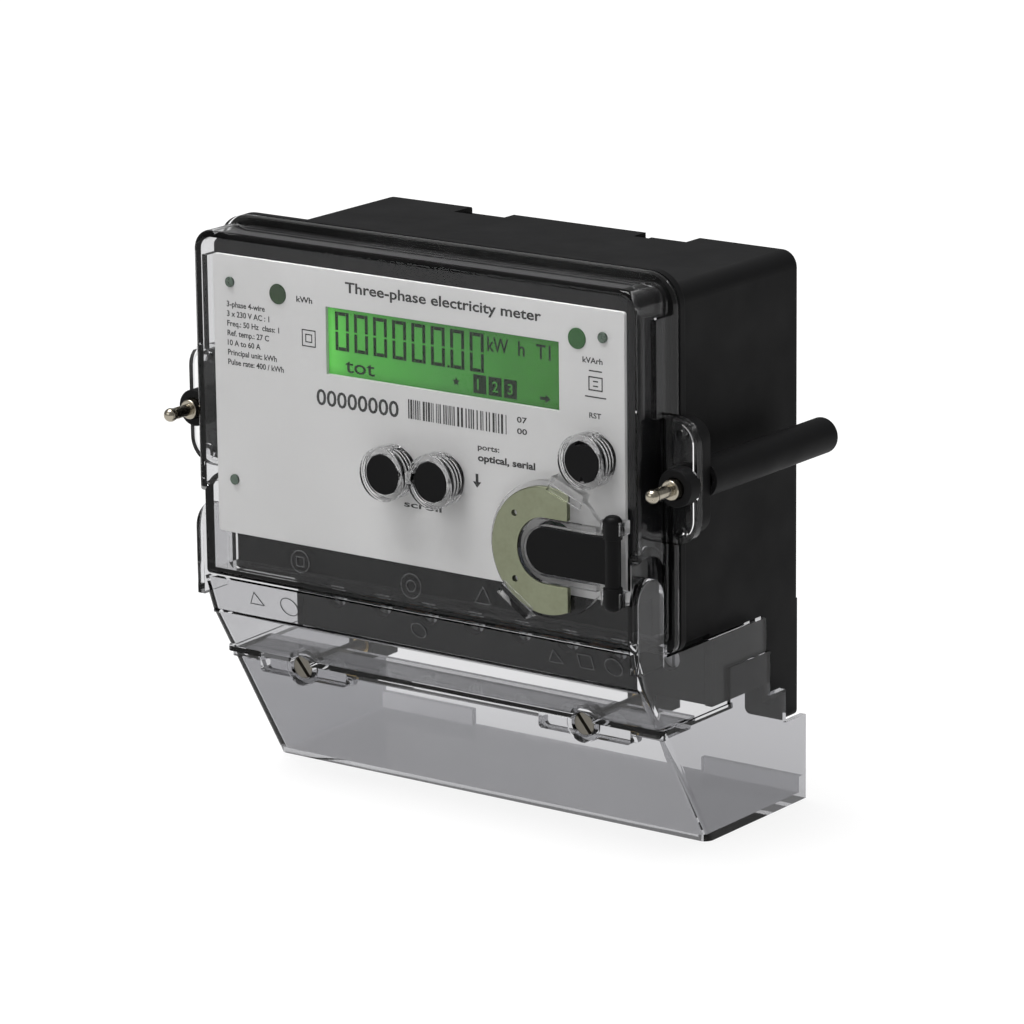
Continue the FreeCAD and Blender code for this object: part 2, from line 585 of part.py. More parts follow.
def faceplate():
    """Printed plate with a display window and holes for buttons, pulse windows and port."""
    back = PLATE_FRONT + PLATE_THICK
    plate = slab(-PLATE_HALF, PLATE_HALF, PLATE_BOTTOM, PLATE_TOP, PLATE_FRONT, back, 1.0, 1.0)
    tools = [box(WINDOW_LEFT, WINDOW_RIGHT, PLATE_FRONT - 1, back + 1, WINDOW_LOW, WINDOW_HIGH)]
    tools += [rod_y(x, z, PLATE_FRONT - 1, back + 1, COLLAR_IN_R + 0.1) for x, z in BUTTONS]
    tools += [rod_y(x, z, PLATE_FRONT - 1, back + 1, PULSE_R) for x, z in (PULSE_ACTIVE, PULSE_REACTIVE)]
    tools += [rod_y(x, z, PLATE_FRONT - 1, back + 1, 1.0) for x, z in PLATE_SCREWS]
    tools.append(rod_y(PORT_X, PORT_Z, PLATE_FRONT - 1, back + 1, 8.0))
    return plate.cut(Part.makeCompound(tools))


def plate_screws():
    """Small pan-head screws at the plate's corners."""
    screws = []
    for x, z in PLATE_SCREWS:
        head = rod_y(x, z, PLATE_FRONT - 0.7, PLATE_FRONT, 1.6)
        head = soften(head, 0.3, lambda e: on_plane_y(e, PLATE_FRONT - 0.7))
        screws.append(head.fuse(rod_y(x, z, PLATE_FRONT - 0.1, -79.0, 1.0)).removeSplitter())
    return group(screws)


def inner_frame():
    """Black carrier behind the plate, with a set-back lower panel and side walls."""
    back = RIM_FRONT
    half = 75.4
    top = 65.8
    front = PLATE_FRONT + PLATE_THICK
    skin = 2.0
    upper = slab(-half, half, PLATE_BOTTOM, top, front, back, 0, 2.0)
    lower = box(-half, half, FRAME_STEP_Y, back, FRAME_BOTTOM, PLATE_BOTTOM)
    body = upper.fuse(lower)
    body = body.cut(box(skin - half, half - skin, front + skin, back + 1, PLATE_BOTTOM + skin, top - skin))
    lower_z = FRAME_BOTTOM + skin
    body = body.cut(box(skin - half, half - skin, FRAME_STEP_Y + skin, back + 1, lower_z, PLATE_BOTTOM + skin + 1))
    margin = GLASS_MARGIN
    tools = [box(WINDOW_LEFT - margin, WINDOW_RIGHT + margin, front - 1, front + 3, WINDOW_LOW - margin,
                 WINDOW_HIGH + margin)]
    tools += [rod_y(x, z, front - 1, front + 3, COLLAR_IN_R + 0.1) for x, z in BUTTONS]
    tools += [rod_y(x, z, front - 1, front + 3, PULSE_R) for x, z in (PULSE_ACTIVE, PULSE_REACTIVE)]
    tools += [rod_y(x, z, front - 1, front + 3, 1.0) for x, z in PLATE_SCREWS]
    tools.append(rod_y(PORT_X, PORT_Z, front - 1, front + 3, 8.0))
    return body.cut(Part.makeCompound(tools)).removeSplitter()


def pulse_window(place):
    """Light pipe from the board to the plate."""
    x, z = place
    pipe = rod_y(x, z, PLATE_FRONT - 0.3, -79.4, PULSE_R)
    return soften(pipe, 0.25, lambda e: on_plane_y(e, PLATE_FRONT - 0.3))


def lcd_glass():
    """Display cell."""
    front = PLATE_FRONT + PLATE_THICK
    m = GLASS_MARGIN
    return box(WINDOW_LEFT - m, WINDOW_RIGHT + m, front, front + GLASS_THICK, WINDOW_LOW - m, WINDOW_HIGH + m)


def lcd_backlight():
    """Light guide behind the cell."""
    back = PLATE_FRONT + PLATE_THICK + GLASS_THICK
    return box(WINDOW_LEFT - 1, WINDOW_RIGHT + 1, back, back + 3.2, WINDOW_LOW - 1, WINDOW_HIGH + 1)


def lcd_holder():
    """Frame that holds light guide and cell on the main board."""
    back = PLATE_FRONT + PLATE_THICK + GLASS_THICK
    outer = box(WINDOW_LEFT - 3, WINDOW_RIGHT + 3, back, MAIN_BOARD_FRONT, WINDOW_LOW - 4.6, WINDOW_HIGH + 3)
    inner = box(WINDOW_LEFT - 1, WINDOW_RIGHT + 1, back - 1, back + 3.2, WINDOW_LOW - 1, WINDOW_HIGH + 1)
    channel = box(WINDOW_LEFT, WINDOW_RIGHT, back - 1, MAIN_BOARD_FRONT + 1, WINDOW_LOW - 3.4, WINDOW_LOW - 2.2)
    return outer.cut(inner).cut(channel)


def lcd_connector():
    """Elastomer strip that joins the cell to the board."""
    back = PLATE_FRONT + PLATE_THICK + GLASS_THICK
    return box(WINDOW_LEFT, WINDOW_RIGHT, back, MAIN_BOARD_FRONT, WINDOW_LOW - 3.4, WINDOW_LOW - 2.2)


# ---- buttons ----------------------------------------------------------------------------

def push_button(place, keyed):
    """Round button. The reset button has a key notch above and below."""
    x, z = place
    button = rod_y(x, z, BUTTON_FRONT, BUTTON_BACK, BUTTON_R)
    button = soften(button, 0.4, lambda e: on_plane_y(e, BUTTON_FRONT))
    if keyed:
        depth = BUTTON_FRONT + 2.0
        button = button.cut(box(x - 2.2, x + 2.2, BUTTON_FRONT - 1, depth, z + 4.6, z + 8))
        notch = prism_y([(x - 1.6, z - 7), (x + 1.6, z - 7), (x, z - 4.2)], BUTTON_FRONT - 1, depth)
        button = button.cut(notch)
    return button


def button_spring(place):
    """Envelope of the return spring between button and board."""
    x, z = place
    return ring_y(x, z, BUTTON_BACK, MAIN_BOARD_FRONT, 5.3, 4.5)


def tact_switches():
    """Dome switches on the main board, one behind each button."""
    switches = []
    for x, z in BUTTONS:
        housing = box(x - 3, x + 3, -80.4, MAIN_BOARD_FRONT, z - 3, z + 3)
        switches.append(housing.fuse(rod_y(x, z, -81.5, -80.4, 1.7)).removeSplitter())
    return group(switches)


# ---- optical port -------------------------------------------------------------------------

def optical_ring():
    """C-shaped steel ring that a magnetic reading head sticks to."""
    ring = rod_y(PORT_X, PORT_Z, RING_FRONT, RING_BACK, RING_R)
    ring = soften(ring, 0.35, lambda e: on_plane_y(e, RING_FRONT))
    ring = ring.cut(slot_shape(PORT_X + 30, RING_SLOT, RING_FRONT - 1, RING_BACK + 1))
    ring = ring.cut(box(RING_END_X, PORT_X + 30, RING_FRONT - 1, RING_BACK + 1, PORT_Z - 30, PORT_Z + 30))
    for z in (PORT_Z - 9.8, PORT_Z + 9.8):
        ring = ring.cut(rod_y(PORT_X - 10.8, z, RING_FRONT - 1, RING_BACK + 1, 1.0))
    for angle in RING_CLIP_ANGLES:
        step = box(RING_R - 1.9, RING_R + 1, RING_FRONT - 1, RING_FRONT + 0.85, -6.3, 6.3)
        step.rotate(V(0, 0, 0), V(0, -1, 0), angle)
        step.translate(V(PORT_X, 0, PORT_Z))
        ring = ring.cut(step)
    return ring


def port_flap():
    """Black shutter: a tongue over the infrared window and a hinge barrel with thicker ends."""
    tongue = slot_shape(BARREL_X - 1, TONGUE_HALF, TONGUE_FRONT, TONGUE_BACK)
    low = PORT_Z - BARREL_HALF
    high = PORT_Z + BARREL_HALF
    barrel = rod_z(BARREL_X, BARREL_Y, low, high, BARREL_R)
    barrel = soften(barrel, 2.1, lambda e: e.BoundBox.ZMax - e.BoundBox.ZMin < 1e-4)
    waist = rod_z(BARREL_X, BARREL_Y, PORT_Z - 7.2, PORT_Z + 7.2, BARREL_R + 1)
    barrel = barrel.cut(waist.cut(rod_z(BARREL_X, BARREL_Y, low, high, BARREL_WAIST_R)))
    return fuse([tongue, barrel])


def ir_window():
    """Dark infrared filter set flush in the cover."""
    return rod_y(PORT_X, PORT_Z, COVER_FRONT - 0.4, COVER_FRONT + COVER_WALL, 6.0)


def ir_diode(side):
    """Domed infrared diode, facing the window."""
    x = PORT_X + side * 3.25
    body = rod_y(x, PORT_Z, -85.8, -80.0, 2.5)
    return soften(body, 1.8, lambda e: on_plane_y(e, -85.8))


def ir_diode_holder():
    """Block that holds both diodes square to the window."""
    block = box(PORT_X - 7.4, PORT_X + 7.4, -82.2, MAIN_BOARD_FRONT, PORT_Z - 4, PORT_Z + 4)
    for side in (-1, 1):
        block = block.cut(rod_y(PORT_X + side * 3.25, PORT_Z, -84, -80.0, 2.5))
    return block


# ---- boards -----------------------------------------------------------------------------------

def main_board():
    """Display and metering board."""
    board = slab(-71, 71, -21, 61, MAIN_BOARD_FRONT, MAIN_BOARD_FRONT + BOARD_THICK, 2.0, 2.0)
    return board


def power_board():
    """Supply and current-sensing board on the case pillars."""
    board = slab(-66, 66, 0, 58, POWER_BOARD_FRONT, POWER_BOARD_FRONT + BOARD_THICK, 2.0, 2.0)
    for x, z in pillar_places():
        board = board.cut(rod_y(x, z, POWER_BOARD_FRONT - 1, POWER_BOARD_FRONT + 3, BOARD_SCREW_R))
    return board


def board_screws():
    """Screws that hold the power board to the pillars."""
    screws = []
    for x, z in pillar_places():
        head = rod_y(x, z, POWER_BOARD_FRONT - 1.8, POWER_BOARD_FRONT, 2.6)
        shank = rod_y(x, z, POWER_BOARD_FRONT - 0.5, -41.0, BOARD_SCREW_R)
        screws.append(head.fuse(shank).removeSplitter())
    return group(screws)


def main_board_chips():
    """Metering chip, controller, memory and clock chip on the back of the main board."""
    back = MAIN_BOARD_FRONT + BOARD_THICK
    places = ((-6, 12, 14, 14, 1.6), (24, 14, 10, 10, 1.4), (44, 30, 6, 5, 1.4), (-38, 8, 8, 5, 1.4))
    return group([box(x, x + w, back, back + t, z, z + h) for x, z, w, h, t in places])


def backup_battery():
    """Lithium cell that runs the clock, lying along X."""
    return rod_x(-67.0, 46.0, -62.0, -37.0, 7.2)


def battery_clip():
    """Plastic cradle under the cell."""
    back = MAIN_BOARD_FRONT + BOARD_THICK
    cradle = box(-64, -35, back, -68.0, 37.5, 54.5)
    return cradle.cut(rod_x(-67.0, 46.0, -62.0, -37.0, 7.2))


def super_capacitor():
    """Coin-shaped capacitor that bridges short outages."""
    back = MAIN_BOARD_FRONT + BOARD_THICK
    return rod_y(-14, 46, back, back + 6.5, 7.0)


def board_header():
    """Pin header between the two boards."""
    return box(6, 36, MAIN_BOARD_FRONT + BOARD_THICK, POWER_BOARD_FRONT, 47, 52)


def power_transformer():
    """Supply transformer: laminated core round a wound bobbin."""
    core = box(-16, 16, -70.0, POWER_BOARD_FRONT, 6, 32)
    window = box(-11, 11, -71.0, POWER_BOARD_FRONT + 1, 11, 27)
    return core.cut(window)


def transformer_bobbin():
    """Wound bobbin inside the core."""
    bobbin = box(-10.8, 10.8, -72.5, POWER_BOARD_FRONT, 11.2, 26.8)
    return soften(bobbin, 2.0, lambda e: e.BoundBox.YMax - e.BoundBox.YMin > 10)


def supply_capacitors():
    """Two electrolytic capacitors standing on the power board."""
    return group([rod_y(x, 16, -68.0, POWER_BOARD_FRONT, 5.0) for x in (26, 38)])


def surge_varistors():
    """One disc varistor for each phase."""
    discs = []
    for x in (-50, -39, -28):
        discs.append(rod_x(-59.4, 22, x - 2, x + 2, 7.0))
    return group(discs)


# ---- terminals ----------------------------------------------------------------------------------

def terminal_block():
    """Black pole housings side by side: a clamp pocket, a screw well in front and a cable hole below in each."""
    poles = []
    for x in terminal_xs():
        half = TERMINAL_PITCH / 2 - 0.01
        left = -BLOCK_HALF if x == min(terminal_xs()) else x - half
        right = BLOCK_HALF if x == max(terminal_xs()) else x + half
        pole = box(left, right, BLOCK_FRONT, -CASE_BACK - 0.2, BLOCK_BOTTOM, BLOCK_TOP)
        tools = [
            box(x - 5.2, x + 5.2, TERMINAL_Y - 6.7, TERMINAL_Y + 6.7, CLAMP_BOTTOM, BLOCK_TOP + 1),
            rod_y(x, TERMINAL_SCREW_Z, BLOCK_FRONT - 1, TERMINAL_Y - 5, 3.9),
            rod_z(x, TERMINAL_Y, BLOCK_BOTTOM - 1, CLAMP_BOTTOM + 1, TERMINAL_BORE_R),
        ]
        for sx, _ in signal_places():
            if abs(sx - x) < half:
                back = BLOCK_FRONT + 9.2
                tools.append(box(sx - 2.4, sx + 2.4, BLOCK_FRONT - 1, back, BLOCK_TOP - 5.0, BLOCK_TOP + 1))
        for tool in cover_screw_axis(BLOCK_FRONT - 1, -35.5, 3.0):
            pole = pole.cut(tool)
        poles.append(pole.cut(Part.makeCompound(tools)).removeSplitter())
    return group(poles)


def cover_screw_posts():
    """Posts under the terminal block that take the terminal cover's screws."""
    z = COVER_SCREW_Z
    posts = []
    for side, tool in zip((1, -1), cover_screw_axis(BLOCK_FRONT - 1, -35.5, 3.0)):
        x = side * COVER_SCREW_X
        posts.append(box(x - 4.6, x + 4.6, BLOCK_FRONT, -34.0, z - 4.6, BLOCK_BOTTOM - 0.01).cut(tool))
    return group(posts)


def main_terminals():
    """Brass clamps: conductor hole from below, screw hole from the front."""
    clamps = []
    for x in terminal_xs():
        clamp = box(x - 5.1, x + 5.1, TERMINAL_Y - 6.5, TERMINAL_Y + 6.5, CLAMP_BOTTOM, -44.0)
        clamp = clamp.cut(rod_z(x, TERMINAL_Y, -63.0, -48.0, TERMINAL_BORE_R))
        clamp = clamp.cut(rod_y(x, TERMINAL_SCREW_Z, TERMINAL_Y - 8, TERMINAL_Y, 2.5))
        clamps.append(clamp)
    return group(clamps)


def terminal_screws():
    """Slotted clamp screws in the wells."""
    screws = []
    for x in terminal_xs():
        head = rod_y(x, TERMINAL_SCREW_Z, -44.0, -41.0, 3.4)
        shank = rod_y(x, TERMINAL_SCREW_Z, -41.5, TERMINAL_Y - 4.4, 2.5)
        slot = box(x - 0.6, x + 0.6, -45, -42.6, TERMINAL_SCREW_Z - 4, TERMINAL_SCREW_Z + 4)
        screws.append(head.fuse(shank).cut(slot).removeSplitter())
    return group(screws)


def signal_places():
    """X and Z of the small signal terminals, between the main screws."""
    return [((i - 2.5) * TERMINAL_PITCH / 2, BLOCK_TOP - 2.6) for i in range(6)]


def signal_terminals():
    """Small brass clamps for the data and pulse wires."""
    clamps = []
    for x, z in signal_places():
        clamp = box(x - 2.3, x + 2.3, BLOCK_FRONT + 1.5, BLOCK_FRONT + 9.0, z - 2.3, z + 2.3)
        clamps.append(clamp.cut(rod_y(x, z, BLOCK_FRONT, BLOCK_FRONT + 7.0, 1.2)))
    return group(clamps)


def signal_screws():
    """Screws of the signal terminals."""
    screws = []
    for x, z in signal_places():
        head = rod_y(x, z, BLOCK_FRONT + 0.2, BLOCK_FRONT + 1.5, 1.9)
        shank = rod_y(x, z, BLOCK_FRONT + 1.0, BLOCK_FRONT + 6.8, 1.2)
        slot = box(x - 0.3, x + 0.3, BLOCK_FRONT - 1, BLOCK_FRONT + 0.8, z - 3, z + 3)
        screws.append(head.fuse(shank).cut(slot).removeSplitter())
    return group(screws)


def busbar(x_in, x_out):
    """Inverted U of flat bar from one terminal to the next."""
    y0 = TERMINAL_Y - BAR_THICK / 2
    y1 = TERMINAL_Y + BAR_THICK / 2
    half = BAR_WIDTH / 2
    outer = box(x_in - half, x_out + half, y0, y1, -44.0, -8.0)
    return outer.cut(box(x_in + half, x_out - half, y0 - 1, y1 + 1, -45.0, -8.0 - BAR_WIDTH))


def phase_busbars():
    """Current path of the three phases."""
    xs = terminal_xs()
    return group([busbar(xs[2 * i], xs[2 * i + 1]) for i in range(3)])


def neutral_busbar():
    """Link between the two neutral terminals."""
    xs = terminal_xs()
    return busbar(xs[6], xs[7])


def current_transformers():
    """Ring transformer round the incoming leg of each phase."""
    xs = terminal_xs()
    rings = []
    for i in range(3):
        ring = rod_z(xs[2 * i], TERMINAL_Y, -33.0, -22.0, 10.5)
        ring = soften(ring, 1.2, lambda e: e.BoundBox.ZMax - e.BoundBox.ZMin < 1e-4)
        rings.append(ring.cut(rod_z(xs[2 * i], TERMINAL_Y, -34.0, -21.0, 5.0)))
    return group(rings)


NODES = {
    "base_case": base_case,
    "seal_tubes": seal_tubes,
    "seal_inserts": seal_inserts,
    "wall_hanger": wall_hanger,
    "cover_gasket": cover_gasket,
    "main_cover": main_cover,
    "seal_collars": seal_collars,
    "sealing_screw_left": lambda: sealing_screw(-1),
    "sealing_screw_right": lambda: sealing_screw(1),
    "terminal_cover": terminal_cover,
    "cable_hood": cable_hood,
    "cover_screw_left": lambda: cover_screw(-1),
    "cover_screw_right": lambda: cover_screw(1),
    "cover_inserts": cover_inserts,
    "faceplate": faceplate,
    "plate_screws": plate_screws,
    "inner_frame": inner_frame,
    "pulse_window_active": lambda: pulse_window(PULSE_ACTIVE),
    "pulse_window_reactive": lambda: pulse_window(PULSE_REACTIVE),
    "lcd_glass": lcd_glass,
    "lcd_backlight": lcd_backlight,
    "lcd_holder": lcd_holder,
    "lcd_connector": lcd_connector,
    "scroll_button_left": lambda: push_button(SCROLL_LEFT, False),
    "scroll_button_right": lambda: push_button(SCROLL_RIGHT, False),
    "reset_button": lambda: push_button(RESET, True),
    "scroll_spring_left": lambda: button_spring(SCROLL_LEFT),
    "scroll_spring_right": lambda: button_spring(SCROLL_RIGHT),
    "reset_spring": lambda: button_spring(RESET),
    "tact_switches": tact_switches,
    "optical_ring": optical_ring,
    "port_flap": port_flap,
    "ir_window": ir_window,
    "ir_emitter": lambda: ir_diode(-1),
    "ir_detector": lambda: ir_diode(1),
    "ir_diode_holder": ir_diode_holder,
    "main_board": main_board,
    "main_board_chips": main_board_chips,
    "backup_battery": backup_battery,
    "battery_clip": battery_clip,
    "super_capacitor": super_capacitor,
    "board_header": board_header,
    "power_board": power_board,
    "board_screws": board_screws,
    "power_transformer": power_transformer,
    "transformer_bobbin": transformer_bobbin,
    "supply_capacitors": supply_capacitors,
    "surge_varistors": surge_varistors,
    "terminal_block": terminal_block,
    "cover_screw_posts": cover_screw_posts,
    "main_terminals": main_terminals,
    "terminal_screws": terminal_screws,
    "signal_terminals": signal_terminals,
    "signal_screws": signal_screws,
    "phase_busbars": phase_busbars,
    "neutral_busbar": neutral_busbar,
    "current_transformers": current_transformers,
}


def main():
    os.makedirs("parts", exist_ok=True)
    for name, make in NODES.items():
        shape = make()
        shape.exportStep(os.path.join("parts", name + ".step"))
        solids = shape.Solids
        print(name, len(solids), "solids", round(shape.Volume, 1), "mm3", "valid" if shape.isValid() else "INVALID")


main()
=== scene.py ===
import json
import math
import random

import bmesh
import bpy
from mathutils import Matrix, Vector

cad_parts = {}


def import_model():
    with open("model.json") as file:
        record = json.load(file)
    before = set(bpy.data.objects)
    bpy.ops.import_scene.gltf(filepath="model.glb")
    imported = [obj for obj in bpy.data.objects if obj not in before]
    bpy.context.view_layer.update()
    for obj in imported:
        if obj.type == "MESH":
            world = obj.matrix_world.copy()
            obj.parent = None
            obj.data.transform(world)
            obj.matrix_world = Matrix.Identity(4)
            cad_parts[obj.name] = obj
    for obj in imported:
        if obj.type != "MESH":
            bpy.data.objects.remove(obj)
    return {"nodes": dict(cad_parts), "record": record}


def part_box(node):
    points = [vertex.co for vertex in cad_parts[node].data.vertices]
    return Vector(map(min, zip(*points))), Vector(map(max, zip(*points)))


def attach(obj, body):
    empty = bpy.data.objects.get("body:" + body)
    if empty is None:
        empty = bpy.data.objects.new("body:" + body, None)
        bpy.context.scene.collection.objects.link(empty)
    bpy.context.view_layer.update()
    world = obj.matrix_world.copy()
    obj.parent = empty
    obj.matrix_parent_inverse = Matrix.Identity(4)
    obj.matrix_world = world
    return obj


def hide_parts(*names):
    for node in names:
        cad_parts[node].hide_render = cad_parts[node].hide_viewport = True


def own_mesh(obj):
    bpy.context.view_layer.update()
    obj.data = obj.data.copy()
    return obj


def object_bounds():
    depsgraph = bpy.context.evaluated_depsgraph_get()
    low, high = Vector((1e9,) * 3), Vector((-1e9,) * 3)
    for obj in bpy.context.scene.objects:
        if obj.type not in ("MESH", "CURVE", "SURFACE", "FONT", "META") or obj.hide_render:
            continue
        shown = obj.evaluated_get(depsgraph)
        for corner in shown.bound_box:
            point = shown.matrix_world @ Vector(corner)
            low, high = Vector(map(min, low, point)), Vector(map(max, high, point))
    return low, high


# A wall-hung electric meter with clear covers, in metres: +X right, +Y into the wall, +Z up.

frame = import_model()
nodes = frame["nodes"]
cad_low, cad_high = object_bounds()
MM = 0.001


# ---- node helpers ------------------------------------------------------------

class Paint:
    """A new node material with its shader, and short ways to add nodes to it."""

    def __init__(self, name):
        self.mat = bpy.data.materials.new(name)
        self.mat.use_nodes = True
        self.tree = self.mat.node_tree
        self.shader = self.tree.nodes["Principled BSDF"]
        self.out = self.tree.nodes["Material Output"]

    def add(self, kind, **values):
        node = self.tree.nodes.new(kind)
        for key, value in values.items():
            setattr(node, key, value)
        return node

    def link(self, a, b):
        self.tree.links.new(a, b)

    def set(self, **values):
        """Plain numbers and colours on the shader's own sockets."""
        for key, value in values.items():
            socket = self.shader.inputs[key.replace("_", " ")]
            socket.default_value = (*value, 1.0) if isinstance(value, tuple) and len(value) == 3 else value
        return self

    def place(self):
        """Object coordinates, which are the row frame at rest."""
        found = self.tree.nodes.get("Texture Coordinate")
        return (found or self.add("ShaderNodeTexCoord")).outputs["Object"]

    def noise(self, scale, detail=2.0, stretch=None):
        node = self.add("ShaderNodeTexNoise")
        node.inputs["Scale"].default_value = scale
        node.inputs["Detail"].default_value = detail
        source = self.place()
        if stretch:
            mapping = self.add("ShaderNodeMapping")
            mapping.inputs["Scale"].default_value = stretch
            self.link(source, mapping.inputs["Vector"])
            source = mapping.outputs["Vector"]
        self.link(source, node.inputs["Vector"])
        return node.outputs["Fac"]

    def ramp(self, source, stops):
        node = self.add("ShaderNodeValToRGB")
        elements = node.color_ramp.elements
        while len(elements) < len(stops):
            elements.new(0.5)
        for element, (at, colour) in zip(elements, stops):
            element.position = at
            element.color = (*colour, 1.0) if isinstance(colour, tuple) else (colour, colour, colour, 1.0)
        self.link(source, node.inputs["Fac"])
        return node.outputs["Color"]

    def spread(self, source, low, high):
        """source from 0 to 1 mapped to low to high."""
        node = self.add("ShaderNodeMapRange")
        node.inputs["From Min"].default_value = 0.3
        node.inputs["From Max"].default_value = 0.7
        node.inputs["To Min"].default_value = low
        node.inputs["To Max"].default_value = high
        self.link(source, node.inputs["Value"])
        return node.outputs["Result"]

    def bump(self, source, depth, strength=1.0, under=None):
        node = self.add("ShaderNodeBump")
        node.inputs["Strength"].default_value = strength
        node.inputs["Distance"].default_value = depth
        self.link(source, node.inputs["Height"])
        if under:
            self.link(under, node.inputs["Normal"])
        return node.outputs["Normal"]

    def sideways(self, axis, low, high):
        """Mix factor that rises as the face turns towards an axis of the row frame."""
        geometry = self.add("ShaderNodeNewGeometry")
        dot = self.add("ShaderNodeVectorMath", operation="DOT_PRODUCT")
        dot.inputs[1].default_value = axis
        self.link(geometry.outputs["True Normal"], dot.inputs[0])
        size = self.add("ShaderNodeMath", operation="ABSOLUTE")
        self.link(dot.outputs["Value"], size.inputs[0])
        node = self.add("ShaderNodeMapRange")
        node.inputs["From Min"].default_value = low
        node.inputs["From Max"].default_value = high
        self.link(size.outputs["Value"], node.inputs["Value"])
        return node.outputs["Result"]

    def along(self, axis, low, high):
        """0 at low and 1 at high along an axis of the row frame, in metres."""
        split = self.add("ShaderNodeSeparateXYZ")
        self.link(self.place(), split.inputs["Vector"])
        node = self.add("ShaderNodeMapRange")
        node.inputs["From Min"].default_value = low
        node.inputs["From Max"].default_value = high
        self.link(split.outputs[axis], node.inputs["Value"])
        return node.outputs["Result"]

    def rounded(self, radius):
        """Softly rounded look on sharp edges."""
        node = self.add("ShaderNodeBevel", samples=4)
        node.inputs["Radius"].default_value = radius
        return node.outputs["Normal"]

    def edges(self, radius):
        """1 on worn edges, 0 on flat faces."""
        bevel = self.rounded(radius)
        geometry = self.add("ShaderNodeNewGeometry")
        dot = self.add("ShaderNodeVectorMath", operation="DOT_PRODUCT")
        self.link(bevel, dot.inputs[0])
        self.link(geometry.outputs["Normal"], dot.inputs[1])
        worn = self.add("ShaderNodeMapRange")
        worn.inputs["From Min"].default_value = 0.995
        worn.inputs["From Max"].default_value = 0.85
        self.link(dot.outputs["Value"], worn.inputs["Value"])
        return worn.outputs["Result"]

    def mix(self, fac, a, b):
        node = self.add("ShaderNodeMix", data_type="RGBA")
        self.link(fac, node.inputs["Factor"])
        for socket, value in ((node.inputs["A"], a), (node.inputs["B"], b)):
            if isinstance(value, tuple):
                socket.default_value = (*value, 1.0)
            else:
                self.link(value, socket)
        return node.outputs["Result"]


def moulded_plastic(name, colour, rough, grain=1800.0, depth=0.00002, wear=0.35, lift=2.2, shine=0.2):
    """Textured injection moulding: fine spark grain, cloudy tone and slightly polished edges."""
    p = Paint(name)
    tone = p.noise(28.0, 3.0)
    light = tuple(min(1.0, c * lift) for c in colour)
    base = p.mix(p.spread(tone, 0.0, 0.22), colour, light)
    p.link(p.mix(p.spread(p.edges(0.0005), 0.0, wear), base, light), p.shader.inputs["Base Color"])
    p.link(p.spread(p.noise(60.0, 4.0), rough - 0.06, rough + 0.07), p.shader.inputs["Roughness"])
    p.link(p.bump(p.noise(grain, 2.0), depth, 0.8, p.rounded(0.0003)), p.shader.inputs["Normal"])
    p.set(IOR=1.52, Specular_IOR_Level=shine)
    return p.mat


def metal(name, colour, rough, brushed=None, wear=(0.6, 0.55, 0.5), tarnish=0.25):
    """Plated or bare metal with faint tarnish, tool marks and brighter edges."""
    p = Paint(name)
    dull = tuple(c * w for c, w in zip(colour, wear))
    base = p.mix(p.spread(p.noise(180.0, 4.0), 0.0, tarnish), colour, dull)
    bright = tuple(min(1.0, c * 1.25) for c in colour)
    p.link(p.mix(p.edges(0.0002), base, bright), p.shader.inputs["Base Color"])
    marks = p.noise(900.0, 3.0, stretch=brushed)
    p.link(p.spread(marks, rough - 0.07, rough + 0.1), p.shader.inputs["Roughness"])
    p.link(p.bump(marks, 0.00001, 0.6, p.rounded(0.00015)), p.shader.inputs["Normal"])
    p.set(Metallic=1.0)
    return p.mat


CLEAR_INDEX = 1.24          # polycarbonate has 1.58, which puts a white haze on the dark panels behind it


def clear_plastic(name, tint, painted_side_shade, density, rough=0.03):
    """Smoked polycarbonate. Rays from lamps go straight through, with the wall's own tint. Faces turned
    towards ±X take the darker second colour, painted shade for side walls seen edge-on.
    """
    p = Paint(name)
    cloudy = tuple(c * 0.96 for c in tint)
    face = p.mix(p.spread(p.noise(24.0, 4.0), 0.0, 1.0), tint, cloudy)
    # painted shade: walls facing ±X take a darker colour, standing in for the dark look of walls seen edge-on
    p.link(p.mix(p.sideways((1.0, 0.0, 0.0), 0.5, 0.95), face, painted_side_shade), p.shader.inputs["Base Color"])
    p.set(Transmission_Weight=1.0, IOR=CLEAR_INDEX)
    p.link(p.spread(p.noise(45.0, 3.0), rough * 0.5, rough * 1.5), p.shader.inputs["Roughness"])
    p.link(p.bump(p.noise(38.0, 2.0), 0.00012, 0.25), p.shader.inputs["Normal"])
    straight = p.add("ShaderNodeBsdfTransparent")
    straight.inputs["Color"].default_value = (*tint, 1.0)
    rays = p.add("ShaderNodeLightPath")
    both = p.add("ShaderNodeMixShader")
    p.link(rays.outputs["Is Shadow Ray"], both.inputs["Fac"])
    p.link(p.shader.outputs["BSDF"], both.inputs[1])
    p.link(straight.outputs["BSDF"], both.inputs[2])
    p.link(both.outputs["Shader"], p.out.inputs["Surface"])
    smoke = p.add("ShaderNodeVolumeAbsorption")
    smoke.inputs["Color"].default_value = (0.3, 0.3, 0.31, 1.0)
    smoke.inputs["Density"].default_value = density
    p.link(smoke.outputs["Volume"], p.out.inputs["Volume"])
    return p.mat


